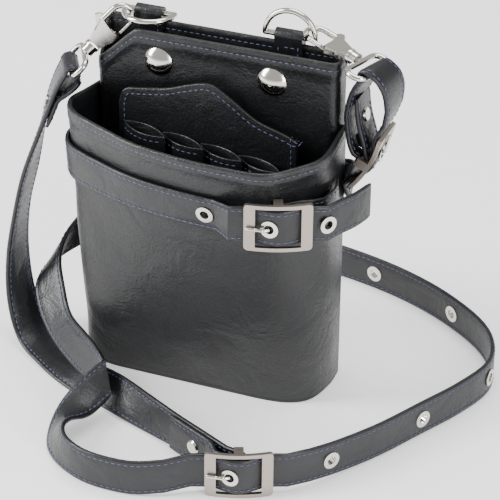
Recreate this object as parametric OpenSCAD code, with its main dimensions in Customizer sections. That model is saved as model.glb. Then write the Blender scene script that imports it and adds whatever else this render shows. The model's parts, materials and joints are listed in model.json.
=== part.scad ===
// Hairdresser's shear holster: a two-pocket leather pouch with a pull-out sleeve
// insert, a buckled belt, two dee rings, two swivel trigger hooks and a long strap.
// Front faces -Y, the wearer's side +Y. The origin is the middle of the base's underside.

/* [Pouch] */
// Half the outside width of the rear pocket
rear_half_w = 66; // [60:1:80]
// Height of the rear pocket
rear_h = 187; // [175:1:230]
// Depth of the rear pocket, front to back
rear_d = 17; // [15:1:22]
// Outer radius of the rear pocket's upright corners
rear_r = 5; // [4:0.5:6]
// Height of the front pocket's rim
front_h = 150; // [130:1:158]
// Thickness of the pouch leather
wall = 2; // [1.4:0.1:2.6]
// Thickness of the stiffened base
base_t = 3; // [2:0.2:4]

/* [Belt and strap] */
// Width of the belt and of the long strap
strap_w = 20; // [16:0.5:21]
// Thickness of the long strap
strap_t = 2.6; // [1.8:0.1:3]
// Thickness of the pouch belt
belt_t = 2.4; // [1.8:0.1:2.8]
// Height of the belt's middle line on the pouch
belt_z = 121; // [100:1:128]
// Thickness of the folded ends that hold the buckle bars
chape_t = 1.6; // [1.2:0.1:2]

/* [Eyelets] */
// Radius of the hole through an eyelet
eyelet_r = 2.4; // [2:0.1:2.6]
// Radius of an eyelet's flange
eyelet_flange_r = 4.6; // [4.2:0.1:5]
// Thickness of an eyelet's sheet metal
eyelet_t = 0.5; // [0.3:0.05:0.6]

/* [Buckles] */
// Length of a buckle frame along the strap
buckle_l = 34; // [33:0.5:40]
// Width of the frame's two broad side bars
buckle_bar = 5.6; // [5:0.1:6.5]
// Thickness of the frame's plate
buckle_t = 2; // [1.6:0.1:2.4]
// Radius that the frame is bowed to
buckle_bow = 62; // [50:1:90]
// Radius of the centre bar
bar_r = 1.2; // [1:0.05:1.4]
// Radius of the prong's wire
prong_r = 0.9; // [0.7:0.05:1]

/* [Rings and hooks] */
// Radius of the ring and hook wire
wire_r = 1.5; // [1.2:0.05:1.6]
// Radius of a dee ring's arc, on the wire's centre line
dee_r = 13.5; // [12:0.25:15]
// Radius of the hook's eye, on the wire's centre line
eye_r = 6.2; // [5.8:0.1:7]
// Thickness of the hook's body plate
hook_t = 4; // [3.6:0.1:5]
// Thickness of the trigger lever
lever_t = 1.4; // [1.1:0.1:1.5]
// Radius of the trigger's pin
pin_r = 0.9; // [0.7:0.05:1.1]

/* [Snaps and tabs] */
// Radius of a domed snap cap
cap_r = 7.8; // [6.5:0.1:8.5]
// Height of a snap cap's dome
cap_h = 3.2; // [2.5:0.1:4]
// Half the distance between the two snaps
snap_half = 31; // [26:0.5:34]
// Height of the snaps
snap_z = 171; // [166:1:173]
// Width of a dee ring tab
tab_w = 15; // [14:0.2:20]
// Thickness of the tab leather
tab_t = 1.8; // [1.4:0.1:2]

/* [Hidden] */
$fn = 48;

// Clearances
seat = 0.05;      // between metal and the leather that it is set in
run = 0.06;       // round a pin or bar that turns
loose = 0.9;      // between rings that are only linked
belt_gap = 0.6;   // between the belt and the pouch

leather = "#2b2b2e";
nickel = "#c9c8c4";
gunmetal = "#9b8f88";

rear_back_y = 24;
rear_front_y = rear_back_y - rear_d;
rear_mid_y = (rear_front_y + rear_back_y) / 2;
pocket_end_y = rear_back_y - rear_r - 3;

// ---------- helpers ----------
function unit(v) = v / norm(v);
function xyz(s) = [s[0], s[1], s[2]];
function across(s) = unit([s[3], s[4], s[5]]);
function blend(a, b, c, d, t) =
  0.5 * (2 * b + (c - a) * t + (2 * a - 5 * b + 4 * c - d) * t * t
  + (3 * b - a - 3 * c + d) * t * t * t);
// Smooth curve through the points p, with n steps between neighbours
function curve(p, n) = let(m = len(p) - 1) [
  for (i = [0 : m - 1]) for (j = [0 : n - 1])
    blend(p[max(i - 1, 0)], p[i], p[i + 1], p[min(i + 2, m)], j / n),
  p[m]];
function along(s, i) = unit(xyz(s[min(i + 1, len(s) - 1)]) - xyz(s[max(i - 1, 0)]));
function facing(s, i) = unit(cross(along(s, i), across(s[i])));

// Solid through closed rings of points, all with the same count
module loft(rings) {
  n = len(rings[0]);
  m = len(rings);
  quads = [for (i = [0 : m - 2]) for (j = [0 : n - 1])
    let(a = i * n + j, b = i * n + (j + 1) % n, c = b + n, d = a + n) [[a, d, c], [a, c, b]]];
  polyhedron(
    [for (r = rings) each r],
    [[for (j = [0 : n - 1]) j], [for (j = [0 : n - 1]) m * n - 1 - j],
     for (q = quads) each q]);
}

// Flat strap of width w and thickness t along the stations s: place and width direction
module ribbon(s, w, t) {
  loft([for (i = [0 : len(s) - 1])
    let(c = xyz(s[i]), a = across(s[i]) * w / 2, f = facing(s, i) * t / 2)
    [c - a - f, c + a - f, c + a + f, c - a + f]]);
}

// Puts children on station i of a strap: local X along it, local Z out of its face
module on_strap(s, i) {
  x = along(s, i);
  z = facing(s, i);
  y = cross(z, x);
  c = xyz(s[i]);
  multmatrix([[x[0], y[0], z[0], c[0]], [x[1], y[1], z[1], c[1]], [x[2], y[2], z[2], c[2]]])
    children();
}

module round_rect(w, d, r) {
  square([w - 2 * r, d], center = true);
  square([w, d - 2 * r], center = true);
  for (x = [-1, 1]) for (y = [-1, 1]) translate([x * (w / 2 - r), y * (d / 2 - r)]) circle(r);
}

module rod(r, h) { cylinder(r = r, h = h, center = true); }

// ---------- pouch ----------
side_k = rear_half_w / 66;
side_x = rear_half_w + wall;
// Outer line of the front pocket at its foot and at its rim, left to right
foot_line = [[-side_x, pocket_end_y], [-side_x, 5], [-67 * side_k, -9], [-60 * side_k, -19.5],
  [-47 * side_k, -23.5], [-20 * side_k, -24], [10 * side_k, -24], [40 * side_k, -24],
  [55 * side_k, -21], [64 * side_k, -13], [side_x, 3], [side_x, pocket_end_y]];
rim_line = [[-side_x, pocket_end_y], [-side_x - 3, 4], [-74 * side_k, -10], [-66 * side_k, -23],
  [-43 * side_k, -35], [-22 * side_k, -44], [5 * side_k, -49], [30 * side_k, -50],
  [48 * side_k, -48], [60 * side_k, -37], [70 * side_k, -19], [side_x, pocket_end_y]];
PER = 5;
function lift(z) = (z - base_t) / (front_h - base_t);
function pocket_line(z) = curve(foot_line * (1 - lift(z)) + rim_line * lift(z), PER);
function side_of(l, i) = let(d = unit(l[min(i + 1, len(l) - 1)] - l[max(i - 1, 0)])) [d[1], -d[0]];
function outside(l, d) = [for (i = [0 : len(l) - 1]) l[i] + side_of(l, i) * d];
function at_z(p, z) = [p[0], p[1], z];

module base_panel() {
  foot = curve(foot_line, PER);
  color(leather) linear_extrude(base_t)
    polygon([for (p = foot) p, [rear_half_w - 1, rear_back_y], [1 - rear_half_w, rear_back_y]]);
}

module rear_tube() {
  translate([0, rear_mid_y, base_t]) linear_extrude(rear_h - base_t) difference() {
    round_rect(2 * rear_half_w, rear_d, rear_r);
    round_rect(2 * (rear_half_w - wall), rear_d - 2 * wall, rear_r - wall);
  }
}

// The front's left corner sags where the hook lies over it
dip = 20;
dip_run = 24;
module corner_dip() {
  x = 2 - rear_half_w * side_k;
  translate([0, rear_mid_y, 0]) rotate([90, 0, 0]) linear_extrude(20)
    polygon([[x + dip_run - 4, rear_h + 0.01], [x - 4, rear_h - dip], [x - 4, rear_h + 9],
      [x + dip_run - 4, rear_h + 9]]);
  polyhedron([for (z = [0, 1], q = [[dip_run - 4, 0, 0], [-4, 0, dip], [-4, rear_d / 2 - wall, 0]])
    [x + q[0], rear_mid_y + q[1], z == 1 ? rear_h + 9 : rear_h - q[2]]],
    [[2, 1, 0], [4, 5, 3], [1, 4, 3, 0], [2, 5, 4, 1], [0, 3, 5, 2]]);
}

module half_space(back) {
  translate([-200, back ? rear_mid_y : rear_mid_y - 200, -10]) cube([400, 200, 400]);
}

module snap_holes(y) {
  for (x = [-snap_half, snap_half]) translate([x, y, snap_z]) rotate([90, 0, 0]) rod(post_r, 12);
}

module rear_pocket_back() {
  color(leather) difference() {
    intersection() { rear_tube(); half_space(true); }
    corner_dip();
    snap_holes(rear_back_y);
  }
}

module rear_pocket_front() {
  color(leather) difference() {
    intersection() { rear_tube(); half_space(false); }
    corner_dip();
    snap_holes(rear_front_y);
  }
}

levels = [base_t, base_t + 0.33 * (front_h - base_t), base_t + 0.66 * (front_h - base_t), front_h];

module front_pocket() {
  outer = [for (z = levels) pocket_line(z)];
  inner = [for (l = outer) outside(l, -wall)];
  m = len(outer[0]);
  n = len(levels) - 1;
  color(leather) difference() {
    loft([for (i = [0 : m - 1]) concat(
      [for (k = [0 : n]) at_z(inner[k][i], levels[k])],
      [for (k = [n : -1 : 0]) at_z(outer[k][i], levels[k])])]);
    for (s = rivet_stations) on_strap([belt_run[s - 1], belt_run[s], belt_run[s + 1]], 1)
      rod(rivet_shank, 14);
  }
}

// ---------- pull-out insert ----------
card_y = rear_front_y - 6;
card_t = 2.2;
card_line = [[-50, 8], [-50, 152], [-46, 157], [-25, 160], [-6, 167], [3, 167], [14, 160],
  [26, 151], [42, 147], [48, 142], [48, 8]];

module insert_card() {
  color(leather) translate([0, card_y, 0]) rotate([90, 0, 0]) linear_extrude(card_t)
    polygon([for (p = card_line) [p[0] * side_k, min(p[1], rear_h - 16)]]);
}

// One leather sleeve for a pair of shears: a tube pinched at both sides, mouth up
sleeve_w = 29;
sleeve_d = 9.6;
sleeve_wall = 0.8;
sleeve_yaw = -20;
sleeve_bow = (sleeve_w * sleeve_w + sleeve_d * sleeve_d) / (4 * sleeve_d);
sleeve_y = card_y - card_t - seat - sleeve_bow + (sleeve_bow - sleeve_d / 2) * cos(sleeve_yaw);
module lens(inset) {
  intersection_for(s = [-1, 1]) translate([0, s * (sleeve_bow - sleeve_d / 2)])
    circle(sleeve_bow - inset, $fn = 120);
}
module sleeve(i) {
  top = front_h - 11 - 2.5 * i;
  color(leather) translate([(-33 + 21 * i) * side_k, sleeve_y, 0]) rotate([0, 0, sleeve_yaw])
    difference() {
      translate([0, 0, 40]) linear_extrude(top - 40) lens(0);
      translate([0, 0, 42]) linear_extrude(top) lens(sleeve_wall);
    }
}

module insert_sleeve_1() { sleeve(0); }
module insert_sleeve_2() { sleeve(1); }
module insert_sleeve_3() { sleeve(2); }
module insert_sleeve_4() { sleeve(3); }

// ---------- snaps ----------
post_r = 2;
snap_r = 5.5;

module at_snaps() { for (x = [-snap_half, snap_half]) translate([x, 0, snap_z]) children(); }

// Domed cap outside the front wall, with a post through it
module snap_caps() {
  dome_r = (cap_r * cap_r + cap_h * cap_h) / (2 * cap_h);
  color(nickel) at_snaps() translate([0, rear_front_y, 0]) rotate([90, 0, 0]) {
    intersection() {
      translate([0, 0, cap_h + 0.4 - dome_r]) sphere(dome_r, $fn = 96);
      cylinder(r = cap_r, h = cap_h + 1, $fn = 64);
    }
    translate([0, 0, -wall - 1]) cylinder(r = post_r - seat, h = wall + 1.5);
  }
}

module snap_sockets() {
  color(nickel) at_snaps() translate([0, rear_front_y + wall, 0]) rotate([-90, 0, 0])
    difference() {
      cylinder(r = snap_r, h = 2.4);
      translate([0, 0, -1]) cylinder(r = post_r, h = 2.2);
      translate([0, 0, 1.2]) cylinder(r = 2.6, h = 3);
    }
}

module snap_studs() {
  color(nickel) at_snaps() translate([0, rear_back_y - wall, 0]) rotate([90, 0, 0])
    difference() {
      union() {
        cylinder(r = snap_r, h = 1.2);
        cylinder(r = 2.5, h = 3.2);
      }
      translate([0, 0, -1]) cylinder(r = post_r, h = 2.4);
    }
}

module snap_stud_posts() {
  color(nickel) at_snaps() translate([0, rear_back_y, 0]) rotate([-90, 0, 0]) {
    cylinder(r1 = 5, r2 = 4, h = 1);
    translate([0, 0, -wall - 1]) cylinder(r = post_r - seat, h = wall + 1.5);
  }
}

// ---------- tabs and dee rings ----------
panel_y = rear_back_y - wall / 2;
dee_z = rear_h + 3.6;
tab_left_x = -42 * side_k;
tab_right_x = 34.5 * side_k;
loop_r = wire_r + run;
tab_gap = wall / 2 + seat;
tab_leg = 9.5;

// Leather strip folded over a dee ring's bar and sewn to both faces of the back
module tab(x) {
  color(leather) translate([x - tab_w / 2, panel_y, 0]) rotate([90, 0, 90])
    linear_extrude(tab_w) difference() {
      union() {
        translate([0, dee_z]) circle(loop_r + tab_t);
        for (s = [0, 1]) mirror([s, 0]) polygon([[tab_gap, rear_h - tab_leg],
          [tab_gap + tab_t, rear_h - tab_leg], [tab_gap + tab_t, rear_h], [loop_r + tab_t, dee_z],
          [0, dee_z], [0, rear_h + seat], [tab_gap, rear_h + seat]]);
      }
      translate([0, dee_z]) circle(loop_r);
    }
}

module tab_left() { tab(tab_left_x); }
module tab_right() { tab(tab_right_x); }

// Ring shaped like a D, standing up from its straight bar
module dee_ring() {
  color(nickel) {
    rotate([90, 0, 0]) rotate_extrude(angle = 180) translate([dee_r, 0]) circle(wire_r);
    rotate([0, 90, 0]) rod(wire_r, 2 * dee_r);
    for (x = [-dee_r, dee_r]) translate([x, 0, 0]) sphere(wire_r);
  }
}

left_lean = 90;
module d_ring_left() {
  translate([tab_left_x, panel_y, dee_z]) rotate([left_lean, 0, 0]) dee_ring();
}
module d_ring_right() { translate([tab_right_x, panel_y, dee_z]) dee_ring(); }

// ---------- swivel trigger hooks ----------
// In a hook's own frame the eye is at the origin, the strap ring is down -Z and
// the plate faces Y.
eye_top = 1;
pivot_z = -11.6;
neck_z = -20;
ring_bar_z = -37;
gate_z = -6.5;
tip_a = 22;
slot_w = lever_t + 2 * run;
post_head_r = 2.3;
swivel_r = 1.5;
ring_half = strap_w / 2 + 1.2 + wire_r;
ring_turn = 4.5;
catch_z = eye_top + eye_r - 2 * wire_r - loose;

function spin_y(v, a) = [v[0] * cos(a) + v[2] * sin(a), v[1], v[2] * cos(a) - v[0] * sin(a)];
function spin_z(v, a) = [v[0] * cos(a) - v[1] * sin(a), v[0] * sin(a) + v[1] * cos(a), v[2]];

// Where the dee ring's wire passes through each eye
left_a = 215;
left_catch = [tab_left_x + dee_r * cos(left_a), panel_y + dee_r * sin(left_a), dee_z];
right_a = 15;
right_catch = [tab_right_x + dee_r * cos(right_a), panel_y, dee_z + dee_r * sin(right_a)];
left_yaw = 30;
left_pitch = 45;
right_yaw = -20;
right_pitch = -78;
right_roll = -90;
function left_turn(v) = spin_z(spin_y(v, left_pitch), left_yaw);
function right_turn(v) = spin_z(spin_y(v, right_pitch), right_yaw);
left_eye = left_catch - left_turn([0, 0, catch_z]);
right_eye = right_catch - right_turn([0, 0, catch_z]);
function left_at(v) = left_eye + left_turn(v);
function right_at(v) = right_eye + right_turn(v);

module at_left() { translate(left_eye) rotate([0, left_pitch, left_yaw]) children(); }
// The right hook has swivelled a quarter turn on its ring
module rolled() { rotate([0, 0, right_roll]) children(); }
module at_right() { translate(right_eye) rotate([0, right_pitch, right_yaw]) children(); }

module hook_body() {
  color(nickel) difference() {
    union() {
      rotate([90, 0, 0]) translate([0, eye_top, 0])
        rotate([0, 0, tip_a]) rotate_extrude(angle = 180 - tip_a) translate([eye_r, 0])
          circle(wire_r);
      translate([-eye_r, 0, (eye_top + gate_z) / 2]) rod(wire_r + 0.15, eye_top - gate_z);
      rotate([90, 0, 0]) translate([0, 0, -hook_t / 2]) linear_extrude(hook_t)
        polygon([[-eye_r - 1.5, gate_z + 1], [-eye_r + 1.4, gate_z], [0, gate_z - 1.2],
          [eye_r + 0.6, gate_z - 1.4], [eye_r + 0.9, gate_z - 2.6], [3, neck_z], [-3, neck_z]]);
      translate([0, 0, neck_z - 5]) cylinder(r = 3.6, h = 5.4);
      translate([0, 0, neck_z - 1.4]) cylinder(r = 4.1, h = 1.2);
    }
    rotate([90, 0, 0]) translate([0, 0, -slot_w / 2]) linear_extrude(slot_w)
      polygon([[-12, -2], [-12, -9], [-3.2, pivot_z - 3.4], [4, pivot_z - 3.4],
        [eye_r + 3, gate_z - 5], [eye_r + 3, gate_z + 1], [3.6, gate_z], [-4.4, gate_z + 1],
        [-4.4, -2]]);
    translate([0, 0, pivot_z]) rotate([90, 0, 0]) rod(pin_r, hook_t + 2);
    translate([0, 0, neck_z - 3.4]) cylinder(r = post_head_r + 0.3, h = 3);
    translate([0, 0, neck_z - 6]) cylinder(r = swivel_r + run, h = 4);
  }
}

// Trigger lever: a thumb tab outside, the pivot, and the gate that closes the eye
module hook_lever() {
  color(nickel) {
    rotate([90, 0, 0]) translate([0, 0, -lever_t / 2]) linear_extrude(lever_t) difference() {
      polygon([[-10.4, -5.2], [-8.4, -4], [-6.9, -8], [-1.6, pivot_z + 2.3], [1.4, pivot_z + 2.3],
        [eye_r - 0.7, gate_z - 0.6], [eye_r - 0.7, gate_z + 0.6], [eye_r + 0.7, gate_z + 0.6],
        [eye_r + 0.7, gate_z - 1.4], [1.8, pivot_z - 1.9], [-1.6, pivot_z - 2.1],
        [-8.6, -9.4], [-11.2, -7]]);
      translate([0, pivot_z]) circle(pin_r + run);
    }
    translate([eye_r, 0, gate_z + 0.5]) cylinder(r = 1.2, h = gate_top - gate_z - 0.5);
  }
}
gate_top = eye_top + eye_r * sin(tip_a) - 1.2;

module hook_pin() {
  color(nickel) translate([0, 0, pivot_z]) rotate([90, 0, 0]) rod(pin_r, hook_t);
}

// Small leaf spring under the lever's foot, in the plate's slot
module hook_spring() {
  color(nickel) translate([0, 0, pivot_z - 2.7]) cube([4, lever_t - 0.4, 0.3], center = true);
}

module hook_ring() {
  color(nickel) {
    translate([0, 0, neck_z - 3.2]) cylinder(r = post_head_r, h = 1);
    translate([0, 0, neck_z - 7]) cylinder(r = swivel_r, h = 4.2);
    top = neck_z - 6.8;
    for (s = [-1, 1]) {
      translate([0, s * (ring_half - ring_turn) / 2, top]) rotate([90, 0, 0])
        rod(wire_r, ring_half - ring_turn);
      translate([0, s * ring_half, (top + ring_bar_z) / 2])
        rod(wire_r, top - ring_bar_z - 2 * ring_turn);
      for (e = [0, 1]) translate([0, s * (ring_half - ring_turn),
        e == 0 ? top - ring_turn : ring_bar_z + ring_turn])
          mirror([0, s < 0 ? 1 : 0, 0]) rotate([0, 90, 0]) rotate([0, 0, e == 0 ? 90 : 0])
            rotate_extrude(angle = 90) translate([ring_turn, 0]) circle(wire_r);
    }
    translate([0, 0, ring_bar_z]) rotate([90, 0, 0]) rod(wire_r, 2 * (ring_half - ring_turn));
  }
}

module hook_left_body() { at_left() hook_body(); }
module hook_left_lever() { at_left() hook_lever(); }
module hook_left_pin() { at_left() hook_pin(); }
module hook_left_spring() { at_left() hook_spring(); }
module hook_left_ring() { at_left() hook_ring(); }
module hook_right_body() { at_right() rolled() hook_body(); }
module hook_right_lever() { at_right() rolled() hook_lever(); }
module hook_right_pin() { at_right() rolled() hook_pin(); }
module hook_right_spring() { at_right() rolled() hook_spring(); }
module hook_right_ring() { at_right() hook_ring(); }

// ---------- buckles ----------
// In a buckle's own frame X runs along the strap, Y across it and Z outwards; the
// frame's crown is at z = 0. The strap goes under both side bars and over the bar.
bar_drop = 5.6;
slot_half = strap_w / 2 + 0.8;
rim_bar = 2;
frame_w = 2 * (slot_half + rim_bar);
prong_turn = bar_r + run + prong_r;
function bow_drop(x) = x * x / (2 * buckle_bow);
prong_end = buckle_l / 2 - 1.6;
prong_rest = prong_r + 0.23 - bow_drop(prong_end);
eyelet_room = eyelet_t + 3 * seat;

module buckle_frame() {
  color(gunmetal) {
    intersection() {
      translate([0, 0, -buckle_bow]) rotate([90, 0, 0]) difference() {
        rod(buckle_bow, frame_w + 4, $fn = 160);
        rod(buckle_bow - buckle_t, frame_w + 6, $fn = 160);
      }
      translate([0, 0, -10]) linear_extrude(12) difference() {
        round_rect(buckle_l, frame_w, 2);
        square([buckle_l - 2 * buckle_bar, 2 * slot_half], center = true);
      }
    }
    for (s = [-1, 1]) translate([0, s * (slot_half + rim_bar / 2), 0]) difference() {
      translate([-2.4, -rim_bar / 2, -bar_drop - bar_r - 1])
        cube([4.8, rim_bar, bar_drop + bar_r + 0.2]);
      translate([0, 0, -bar_drop]) rotate([90, 0, 0]) rod(bar_r + 0.02, rim_bar + 1);
    }
  }
}

module buckle_bar_pin() {
  color(gunmetal) translate([0, 0, -bar_drop]) rotate([90, 0, 0]) rod(bar_r, frame_w);
}

prong_in = prong_turn - 0.35;
// The prong's middle line: up through the eyelet, then down onto the frame's end bar
prong_line = [[-prong_in * cos(35), prong_in * sin(35) - bar_drop], [-5, 0.45], [-7.2, 1.3],
  [0.4 - buckle_l / 2 + buckle_bar, prong_rest + 0.95], [-prong_end, prong_rest]];
module buckle_prong() {
  color(nickel) {
    translate([0, 0, -bar_drop]) rotate([90, 0, 0])
      rotate_extrude() translate([prong_turn, 0]) circle(prong_r);
    for (i = [0 : len(prong_line) - 2]) let(p = prong_line[i], q = prong_line[i + 1])
      translate([p[0], 0, p[1]]) {
        if (i > 0) sphere(prong_r + 0.12);
        rotate([0, atan2(q[0] - p[0], q[1] - p[1]), 0]) cylinder(r = prong_r, h = norm(q - p));
      }
    translate([-prong_end, 0, prong_rest]) sphere(prong_r + 0.12);
  }
}

// Slot for the prong's ring; the second one leaves the layer that crosses in front whole
module prong_slot_back() {
  translate([0, 0, -bar_drop - 3.2]) cube([14, 2 * prong_r + 2, 13.4], center = true);
}
module prong_slot() { translate([0, 0, -bar_drop]) cube([14, 2 * prong_r + 2, 14], center = true); }

// Middle line of a strap of thickness t that lies over a folded end of thickness f
function lie(x, t, f) = let(mid = -bar_drop + bar_r + run + max(f, 2 * prong_r) + eyelet_room + t / 2,
  low = -bow_drop(buckle_l / 2) - buckle_t - 0.4 - t / 2, u = min(abs(x) / 16, 1))
  mid + (low - mid) * (1 - cos(180 * u)) / 2;
function place(f, p) = f[0] + f[1] * p[0] + f[3] * p[1];
THROUGH = [-24, -18, -13, -8, -4, 0, 4, 8, 13, 18, 24];
function through(f, t, fold, up, n) = [for (i = [0 : n])
  concat(place(f, [THROUGH[i], lie(THROUGH[i], t, fold)]), up * f[2])];
// Stations k of a strap, moved d out of its face
function beside(s, k, d) = [for (i = k) concat(xyz(s[i]) + facing(s, i) * d, across(s[i]))];
// Stations round a buckle's bar for a folded end of thickness t, from angle a to b
function round_bar(f, t, a, b) = [for (i = [0 : 5]) let(q = a + (b - a) * i / 5,
  r = (bar_r + run) / cos((b - a) / 10) + t / 2) concat(place(f, [r * cos(q), -bar_drop + r * sin(q)]), f[2])];

module in_place(f) {
  multmatrix([[f[1][0], f[2][0], f[3][0], f[0][0]], [f[1][1], f[2][1], f[3][1], f[0][1]],
    [f[1][2], f[2][2], f[3][2], f[0][2]]]) children();
}

function upright(c, a) = [c, [cos(a), sin(a), 0], [0, 0, 1], [sin(a), -cos(a), 0]];
belt_place = upright([56.9, -50.7, belt_z + 1.5], 22);
strap_place = upright([59.5, -108, frame_w / 2 + 0.1], 22);
loop_a = 62;
loop_place = [[84.8, 15.5, 134], [-cos(loop_a), 0, -sin(loop_a)], [0, 1, 0],
  [sin(loop_a), 0, -cos(loop_a)]];

module belt_buckle_frame() { in_place(belt_place) buckle_frame(); }
module belt_buckle_bar() { in_place(belt_place) buckle_bar_pin(); }
module belt_buckle_prong() { in_place(belt_place) buckle_prong(); }
module strap_buckle_frame() { in_place(strap_place) buckle_frame(); }
module strap_buckle_bar() { in_place(strap_place) buckle_bar_pin(); }
module strap_buckle_prong() { in_place(strap_place) buckle_prong(); }
module loop_buckle_frame() { in_place(loop_place) buckle_frame(); }
module loop_buckle_bar() { in_place(loop_place) buckle_bar_pin(); }
module loop_buckle_prong() { in_place(loop_place) buckle_prong(); }

// ---------- eyelets and rivets ----------
module eyelet(t) {
  h = t / 2 + seat;
  rotate_extrude() polygon([[eyelet_r, -h - eyelet_t], [eyelet_flange_r, -h - eyelet_t],
    [eyelet_flange_r, -h], [eyelet_r + eyelet_t, -h], [eyelet_r + eyelet_t, h],
    [eyelet_flange_r, h], [eyelet_flange_r, h + eyelet_t], [eyelet_r, h + eyelet_t]]);
}
// A hole right through, with the leather pressed flat round it on both faces
module pressed_hole(r, flat, t) {
  rod(r, 12);
  for (m = [0, 1]) mirror([0, 0, m]) translate([0, 0, t / 2 + 0.03]) cylinder(r = flat, h = 1.2);
}
module eyelet_holes(s, list, t) {
  for (i = list) on_strap(s, i) pressed_hole(eyelet_r + eyelet_t + seat, eyelet_flange_r + seat, t);
}

rivet_shank = 1.4;
rivet_head = 4;
// Rivet with a head on each side of a stack from z = a to z = b
module rivet(a, b) {
  translate([0, 0, a - seat - 0.9]) cylinder(r = rivet_head, h = 0.9);
  translate([0, 0, b + seat]) cylinder(r1 = rivet_head, r2 = rivet_head - 0.8, h = 0.9);
  translate([0, 0, a - 0.5]) cylinder(r = rivet_shank - seat, h = b - a + 1);
}

// ---------- pouch belt ----------
belt_low = pocket_line(belt_z - strap_w / 2);
belt_high = pocket_line(belt_z + strap_w / 2);
belt_mid = outside(pocket_line(belt_z), belt_gap + belt_t / 2);
WRAP = 33;
belt_run = concat(
  [for (i = [1 : WRAP]) concat(at_z(belt_mid[i], belt_z), [belt_high[i][0] - belt_low[i][0],
    belt_high[i][1] - belt_low[i][1], strap_w])],
  through(belt_place, belt_t, chape_t, 1, 10),
  curve([[80, -27, belt_z + 1, 0, 0, 1], [85, -17, belt_z + 1, 0, 0, 1],
    [88.5, -5, belt_z + 1, 0, 0, 1]], 3));
chape_run = concat(
  [for (p = [[17, -9.9], [12, -9.4], [7, -7.8]]) concat(place(belt_place, p), [0, 0, 1])],
  round_bar(belt_place, chape_t, 60, 290),
  curve([for (p = [[6, -9.6], [12, -11.6], [17, -12.3]])
    concat(place(belt_place, p), [0, 0, 1])], 2),
  curve([[71.8, -26, belt_z, 0, 0, 1], [73.4, -15, belt_z, 0, 0, 1],
    [side_x + 3.6, -5, belt_z, 0, 0, 1]], 3));
rivet_stations = [6];
belt_eyelet_at = [31, WRAP + 4, WRAP + 10];

module pouch_belt() {
  color(leather) difference() {
    ribbon(belt_run, strap_w, belt_t);
    eyelet_holes(belt_run, belt_eyelet_at, belt_t);
    for (s = rivet_stations) on_strap(belt_run, s) rod(rivet_shank, 14);
  }
}
module belt_chape() {
  color(leather) difference() {
    ribbon(chape_run, strap_w, chape_t);
    in_place(belt_place) prong_slot();
  }
}
module belt_eyelets() {
  color(nickel) for (i = belt_eyelet_at) on_strap(belt_run, i) eyelet(belt_t);
}
module belt_rivets() {
  color(nickel) for (s = rivet_stations) on_strap(belt_run, s)
    rivet(-belt_t / 2 - belt_gap - wall - 0.1, belt_t / 2);
}

// ---------- long strap ----------
bar_turn = (wire_r + run) / cos(16) + strap_t / 2 + 0.5;
function left_wrap(a) = concat(left_at([bar_turn * cos(a), 0, ring_bar_z + bar_turn * sin(a)]),
  left_turn([0, 1, 0]));
function right_wrap(a) = concat(right_at([bar_turn * cos(a), 0, ring_bar_z + bar_turn * sin(a)]),
  right_turn([0, 1, 0]));

// Left length: folded over the left hook's ring, down to the floor and round the buckle's bar
lap = strap_t + 0.1;
left_down = curve([left_wrap(225), [-86, 0, 152, -0.45, 0.89, 0], [-90, -1.5, 140, -0.4, 0.91, 0],
  [-94.5, -3, 124, -0.25, 0.97, 0], [-101, -4, 100, 0, 1, 0], [-107, -5, 74, 0, 1, 0],
  [-110, -6, 48, 0.15, 1, 0], [-106.5, -11, 24, 0.35, 0.9, 0.05], [-95.5, -20, 7, 0.5, 0.85, 0.1],
  [-78, -32, 3.6, 0.5, 0.8, 0.15], [-56, -46, 5.6, 0.3, 0.75, 0.5],
  [-33, -57, 8.6, 0.2, 0.68, 0.7], [-10, -69, 10.2, 0.1, 0.35, 0.93],
  [14, -81, 11.5, 0, 0.1, 1], [34, -91, 12.6, 0, 0, 1],
  [49, -98.6, strap_place[0][2], 0, 0, 1]], 5);
LEFT_N = len(left_down) - 1;
strap_left_run = concat(
  beside(left_down, [13 : -1 : 8], lap),
  curve([concat(xyz(left_down[7]) + facing(left_down, 7) * (lap + 0.9), [-0.43, 0.9, 0]),
    [-79, 3, 151, -0.45, 0.89, 0], [-75.4, 4, 156, -0.5, 0.87, 0], left_wrap(-15)], 3),
  [for (a = [15, 45, 75, 105, 135, 165, 195]) left_wrap(a)],
  left_down,
  round_bar(strap_place, strap_t, -60, 120),
  curve([concat(place(strap_place, [-6, -5.4]), [0, 0, 1]),
    concat(place(strap_place, [-11.5, -8.6]), [0, 0, 1])], 2),
  beside(left_down, [LEFT_N - 3 : -1 : LEFT_N - 10], lap));
left_rivet_at = [10, LEFT_N - 6];

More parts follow.
